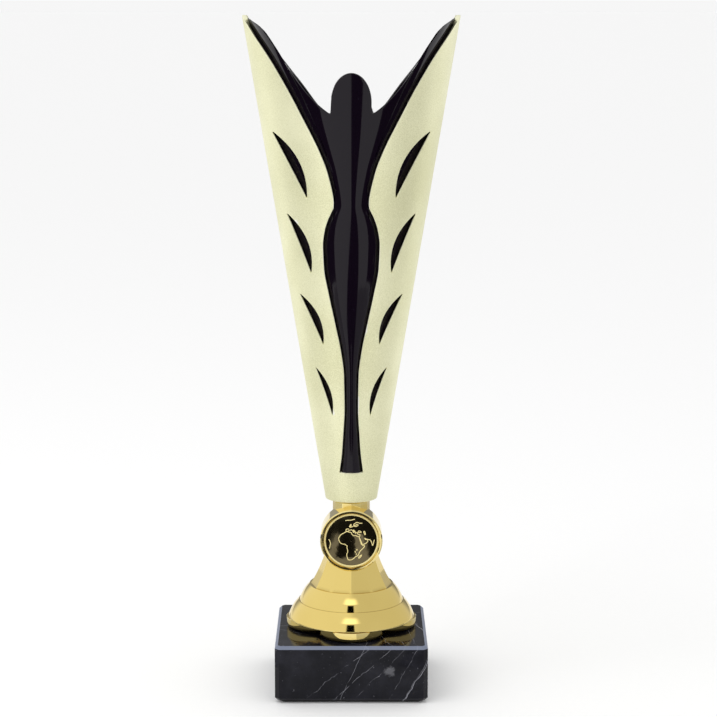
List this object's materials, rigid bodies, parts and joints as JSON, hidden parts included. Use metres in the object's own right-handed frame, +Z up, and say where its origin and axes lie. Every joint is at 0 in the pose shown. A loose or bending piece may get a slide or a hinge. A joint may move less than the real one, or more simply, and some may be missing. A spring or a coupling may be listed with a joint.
{
  "type": "cup trophy",
  "caption": "Slender conical cup trophy: pierced satin outer cone over a black inner cone with a raised-arm figure, gold foot with emblem holder, square marble base.",
  "frame": {"origin": "centre of the face the trophy stands on, under the axis of the cup", "axes": "+Z up along the cup's axis, +X to the right seen from the front, the front with the figure and the emblem faces -Y"},
  "size_m": [0.0984, 0.0862, 0.311],
  "materials": {
    "felt": "thin black felt sheet",
    "marble": "polished black marble with fine white veins",
    "zinc_steel": "bright zinc plated steel",
    "polished_gold": "metallised plastic, mirror-polished gold",
    "foam_tape": "white double-sided foam",
    "emblem_gold": "bright gold anodised aluminium",
    "black_enamel": "glossy black enamel",
    "satin_gold": "metallised plastic, satin pale gold",
    "gloss_black": "glossy black plastic"
  },
  "bodies": {
    "root": {"base_pad": "felt", "marble_base": "marble", "base_washer": "zinc_steel", "base_nut": "zinc_steel", "tie_rod": "zinc_steel", "foot": "polished_gold", "emblem_pad": "foam_tape", "emblem_disc": "emblem_gold", "emblem_enamel": "black_enamel", "outer_cone": "satin_gold", "inner_cone": "gloss_black", "cup_washer": "zinc_steel", "cup_nut": "zinc_steel"}
  },
  "joints": []
}
